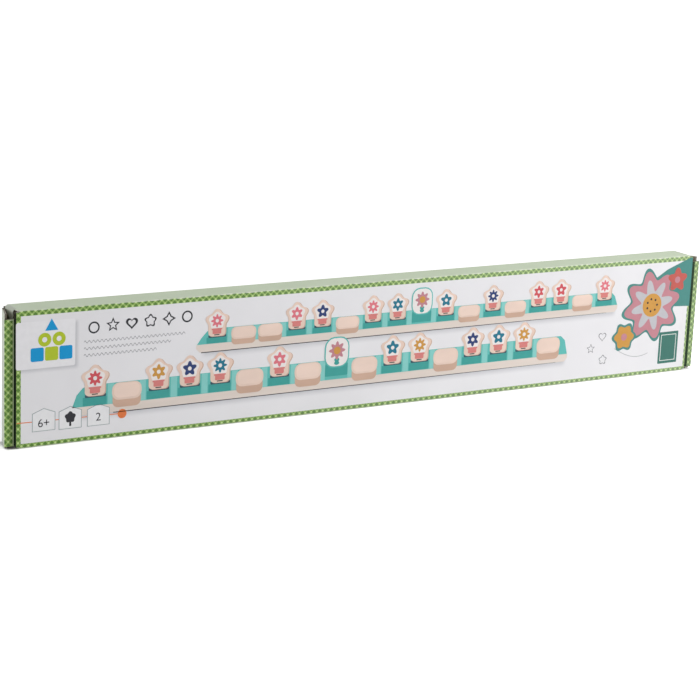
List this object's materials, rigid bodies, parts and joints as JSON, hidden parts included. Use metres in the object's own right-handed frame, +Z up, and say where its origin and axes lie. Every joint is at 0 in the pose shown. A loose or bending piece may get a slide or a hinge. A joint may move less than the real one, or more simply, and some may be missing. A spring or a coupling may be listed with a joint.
{
  "type": "face guessing game carton",
  "caption": "Long slim tuck-end board carton with hinged end flaps, holding flip-face guessing boards, cards and a leaflet.",
  "frame": {"origin": "bottom of the carton, in the middle of its length and depth with the end flaps at rest", "axes": "+X along the carton to the right as its front is read, +Y from the front panel to the back panel, +Z up"},
  "size_m": [0.6562, 0.025, 0.105],
  "materials": {
    "printed_board": "printed, satin",
    "check_board": "check print, satin",
    "painted_base": "teal paint on the face side",
    "block_wood": "sanded",
    "face_wood": "sanded and printed",
    "rod_steel": "drawn",
    "card_stock": "matt",
    "leaflet_paper": "uncoated"
  },
  "bodies": {
    "carton": {"carton_sleeve": "printed_board", "lower_base": "painted_base", "lower_hinge_rod": "rod_steel", "lower_bearing_blocks": "block_wood", "upper_base": "painted_base", "upper_hinge_rod": "rod_steel", "upper_bearing_blocks": "block_wood", "target_cards": "card_stock", "rules_leaflet": "leaflet_paper"},
    "left_closure": {"left_closure_panel": "check_board"},
    "left_tuck": {"left_tuck_flap": "check_board"},
    "left_top_dust": {"left_top_dust_flap": "check_board"},
    "left_bottom_dust": {"left_bottom_dust_flap": "check_board"},
    "right_closure": {"right_closure_panel": "check_board"},
    "right_tuck": {"right_tuck_flap": "check_board"},
    "right_top_dust": {"right_top_dust_flap": "check_board"},
    "right_bottom_dust": {"right_bottom_dust_flap": "check_board"},
    "lower_face_01_body": {"lower_face_01": "face_wood"},
    "lower_face_02_body": {"lower_face_02": "face_wood"},
    "lower_face_03_body": {"lower_face_03": "face_wood"},
    "lower_face_04_body": {"lower_face_04": "face_wood"},
    "lower_face_05_body": {"lower_face_05": "face_wood"},
    "lower_face_06_body": {"lower_face_06": "face_wood"},
    "lower_face_07_body": {"lower_face_07": "face_wood"},
    "lower_face_08_body": {"lower_face_08": "face_wood"},
    "lower_face_09_body": {"lower_face_09": "face_wood"},
    "lower_face_10_body": {"lower_face_10": "face_wood"},
    "lower_face_11_body": {"lower_face_11": "face_wood"},
    "lower_face_12_body": {"lower_face_12": "face_wood"},
    "lower_face_13_body": {"lower_face_13": "face_wood"},
    "lower_face_14_body": {"lower_face_14": "face_wood"},
    "lower_face_15_body": {"lower_face_15": "face_wood"},
    "lower_face_16_body": {"lower_face_16": "face_wood"},
    "upper_face_01_body": {"upper_face_01": "face_wood"},
    "upper_face_02_body": {"upper_face_02": "face_wood"},
    "upper_face_03_body": {"upper_face_03": "face_wood"},
    "upper_face_04_body": {"upper_face_04": "face_wood"},
    "upper_face_05_body": {"upper_face_05": "face_wood"},
    "upper_face_06_body": {"upper_face_06": "face_wood"},
    "upper_face_07_body": {"upper_face_07": "face_wood"},
    "upper_face_08_body": {"upper_face_08": "face_wood"},
    "upper_face_09_body": {"upper_face_09": "face_wood"},
    "upper_face_10_body": {"upper_face_10": "face_wood"},
    "upper_face_11_body": {"upper_face_11": "face_wood"},
    "upper_face_12_body": {"upper_face_12": "face_wood"},
    "upper_face_13_body": {"upper_face_13": "face_wood"},
    "upper_face_14_body": {"upper_face_14": "face_wood"},
    "upper_face_15_body": {"upper_face_15": "face_wood"},
    "upper_face_16_body": {"upper_face_16": "face_wood"}
  },
  "joints": [
    {"name": "left_closure_hinge", "type": "hinge", "parent": "carton", "child": "left_closure", "pos_m": [-0.32171, 0.01175, 0.0513], "axis": [0, 0, -1], "range_deg": [-16.5, 153.5]},
    {"name": "right_closure_hinge", "type": "hinge", "parent": "carton", "child": "right_closure", "pos_m": [0.31926, 0.01175, 0.0513], "axis": [0, 0, 1], "range_deg": [-24, 146]},
    {"name": "left_tuck_crease", "type": "hinge", "parent": "left_closure", "child": "left_tuck", "pos_m": [-0.32786, -0.00901, 0.0513], "axis": [0, 0, -1], "range_deg": [-1.65, 15.35]},
    {"name": "left_top_dust_crease", "type": "hinge", "parent": "carton", "child": "left_top_dust", "pos_m": [-0.31991, 0, 0.10425], "axis": [0, 1, 0], "range_deg": [-8.25, 76.75]},
    {"name": "left_bottom_dust_crease", "type": "hinge", "parent": "carton", "child": "left_bottom_dust", "pos_m": [-0.31991, 0, 0.00075], "axis": [0, -1, 0], "range_deg": [-8.25, 76.75]},
    {"name": "right_tuck_crease", "type": "hinge", "parent": "right_closure", "child": "right_tuck", "pos_m": [0.32807, -0.00803, 0.0513], "axis": [0, 0, 1], "range_deg": [-2.4, 14.6]},
    {"name": "right_top_dust_crease", "type": "hinge", "parent": "carton", "child": "right_top_dust", "pos_m": [0.31746, 0, 0.10425], "axis": [0, -1, 0], "range_deg": [-12, 73]},
    {"name": "right_bottom_dust_crease", "type": "hinge", "parent": "carton", "child": "right_bottom_dust", "pos_m": [0.31746, 0, 0.00075], "axis": [0, 1, 0], "range_deg": [-12, 73]},
    {"name": "lower_face_hinge_01", "type": "hinge", "parent": "carton", "child": "lower_face_01_body", "pos_m": [-0.28122, -0.00035, 0.0463], "axis": [-1, 0, 0], "range_deg": [0, 8]},
    {"name": "lower_face_hinge_02", "type": "hinge", "parent": "carton", "child": "lower_face_02_body", "pos_m": [-0.24622, -0.00035, 0.0463], "axis": [-1, 0, 0], "range_deg": [0, 8]},
    {"name": "lower_face_hinge_03", "type": "hinge", "parent": "carton", "child": "lower_face_03_body", "pos_m": [-0.21122, -0.00035, 0.0463], "axis": [-1, 0, 0], "range_deg": [0, 8]},
    {"name": "lower_face_hinge_04", "type": "hinge", "parent": "carton", "child": "lower_face_04_body", "pos_m": [-0.17622, -0.00035, 0.0463], "axis": [-1, 0, 0], "range_deg": [0, 8]},
    {"name": "lower_face_hinge_05", "type": "hinge", "parent": "carton", "child": "lower_face_05_body", "pos_m": [-0.14122, -0.00035, 0.0463], "axis": [-1, 0, 0], "range_deg": [0, 8]},
    {"name": "lower_face_hinge_06", "type": "hinge", "parent": "carton", "child": "lower_face_06_body", "pos_m": [-0.10622, -0.00035, 0.0463], "axis": [-1, 0, 0], "range_deg": [0, 8]},
    {"name": "lower_face_hinge_07", "type": "hinge", "parent": "carton", "child": "lower_face_07_body", "pos_m": [-0.07122, -0.00035, 0.0463], "axis": [-1, 0, 0], "range_deg": [0, 8]},
    {"name": "lower_face_hinge_08", "type": "hinge", "parent": "carton", "child": "lower_face_08_body", "pos_m": [-0.03622, -0.00035, 0.0463], "axis": [-1, 0, 0], "range_deg": [0, 8]},
    {"name": "lower_face_hinge_09", "type": "hinge", "parent": "carton", "child": "lower_face_09_body", "pos_m": [0.03378, -0.00035, 0.0463], "axis": [-1, 0, 0], "range_deg": [0, 8]},
    {"name": "lower_face_hinge_10", "type": "hinge", "parent": "carton", "child": "lower_face_10_body", "pos_m": [0.06878, -0.00035, 0.0463], "axis": [-1, 0, 0], "range_deg": [0, 8]},
    {"name": "lower_face_hinge_11", "type": "hinge", "parent": "carton", "child": "lower_face_11_body", "pos_m": [0.10378, -0.00035, 0.0463], "axis": [-1, 0, 0], "range_deg": [0, 8]},
    {"name": "lower_face_hinge_12", "type": "hinge", "parent": "carton", "child": "lower_face_12_body", "pos_m": [0.13878, -0.00035, 0.0463], "axis": [-1, 0, 0], "range_deg": [0, 8]},
    {"name": "lower_face_hinge_13", "type": "hinge", "parent": "carton", "child": "lower_face_13_body", "pos_m": [0.17378, -0.00035, 0.0463], "axis": [-1, 0, 0], "range_deg": [0, 8]},
    {"name": "lower_face_hinge_14", "type": "hinge", "parent": "carton", "child": "lower_face_14_body", "pos_m": [0.20878, -0.00035, 0.0463], "axis": [-1, 0, 0], "range_deg": [0, 8]},
    {"name": "lower_face_hinge_15", "type": "hinge", "parent": "carton", "child": "lower_face_15_body", "pos_m": [0.24378, -0.00035, 0.0463], "axis": [-1, 0, 0], "range_deg": [0, 8]},
    {"name": "lower_face_hinge_16", "type": "hinge", "parent": "carton", "child": "lower_face_16_body", "pos_m": [0.27878, -0.00035, 0.0463], "axis": [-1, 0, 0], "range_deg": [0, 8]},
    {"name": "upper_face_hinge_01", "type": "hinge", "parent": "carton", "child": "upper_face_01_body", "pos_m": [-0.28122, -0.00035, 0.0956], "axis": [-1, 0, 0], "range_deg": [0, 8]},
    {"name": "upper_face_hinge_02", "type": "hinge", "parent": "carton", "child": "upper_face_02_body", "pos_m": [-0.24622, -0.00035, 0.0956], "axis": [-1, 0, 0], "range_deg": [0, 8]},
    {"name": "upper_face_hinge_03", "type": "hinge", "parent": "carton", "child": "upper_face_03_body", "pos_m": [-0.21122, -0.00035, 0.0956], "axis": [-1, 0, 0], "range_deg": [0, 8]},
    {"name": "upper_face_hinge_04", "type": "hinge", "parent": "carton", "child": "upper_face_04_body", "pos_m": [-0.17622, -0.00035, 0.0956], "axis": [-1, 0, 0], "range_deg": [0, 8]},
    {"name": "upper_face_hinge_05", "type": "hinge", "parent": "carton", "child": "upper_face_05_body", "pos_m": [-0.14122, -0.00035, 0.0956], "axis": [-1, 0, 0], "range_deg": [0, 8]},
    {"name": "upper_face_hinge_06", "type": "hinge", "parent": "carton", "child": "upper_face_06_body", "pos_m": [-0.10622, -0.00035, 0.0956], "axis": [-1, 0, 0], "range_deg": [0, 8]},
    {"name": "upper_face_hinge_07", "type": "hinge", "parent": "carton", "child": "upper_face_07_body", "pos_m": [-0.07122, -0.00035, 0.0956], "axis": [-1, 0, 0], "range_deg": [0, 8]},
    {"name": "upper_face_hinge_08", "type": "hinge", "parent": "carton", "child": "upper_face_08_body", "pos_m": [-0.03622, -0.00035, 0.0956], "axis": [-1, 0, 0], "range_deg": [0, 8]},
    {"name": "upper_face_hinge_09", "type": "hinge", "parent": "carton", "child": "upper_face_09_body", "pos_m": [0.03378, -0.00035, 0.0956], "axis": [-1, 0, 0], "range_deg": [0, 8]},
    {"name": "upper_face_hinge_10", "type": "hinge", "parent": "carton", "child": "upper_face_10_body", "pos_m": [0.06878, -0.00035, 0.0956], "axis": [-1, 0, 0], "range_deg": [0, 8]},
    {"name": "upper_face_hinge_11", "type": "hinge", "parent": "carton", "child": "upper_face_11_body", "pos_m": [0.10378, -0.00035, 0.0956], "axis": [-1, 0, 0], "range_deg": [0, 8]},
    {"name": "upper_face_hinge_12", "type": "hinge", "parent": "carton", "child": "upper_face_12_body", "pos_m": [0.13878, -0.00035, 0.0956], "axis": [-1, 0, 0], "range_deg": [0, 8]},
    {"name": "upper_face_hinge_13", "type": "hinge", "parent": "carton", "child": "upper_face_13_body", "pos_m": [0.17378, -0.00035, 0.0956], "axis": [-1, 0, 0], "range_deg": [0, 8]},
    {"name": "upper_face_hinge_14", "type": "hinge", "parent": "carton", "child": "upper_face_14_body", "pos_m": [0.20878, -0.00035, 0.0956], "axis": [-1, 0, 0], "range_deg": [0, 8]},
    {"name": "upper_face_hinge_15", "type": "hinge", "parent": "carton", "child": "upper_face_15_body", "pos_m": [0.24378, -0.00035, 0.0956], "axis": [-1, 0, 0], "range_deg": [0, 8]},
    {"name": "upper_face_hinge_16", "type": "hinge", "parent": "carton", "child": "upper_face_16_body", "pos_m": [0.27878, -0.00035, 0.0956], "axis": [-1, 0, 0], "range_deg": [0, 8]}
  ],
  "couplings": [
    {"joint": "left_tuck_crease", "follows": "left_closure_hinge", "ratio": 0.1},
    {"joint": "left_top_dust_crease", "follows": "left_closure_hinge", "ratio": 0.5},
    {"joint": "left_bottom_dust_crease", "follows": "left_closure_hinge", "ratio": 0.5},
    {"joint": "right_tuck_crease", "follows": "right_closure_hinge", "ratio": 0.1},
    {"joint": "right_top_dust_crease", "follows": "right_closure_hinge", "ratio": 0.5},
    {"joint": "right_bottom_dust_crease", "follows": "right_closure_hinge", "ratio": 0.5}
  ]
}
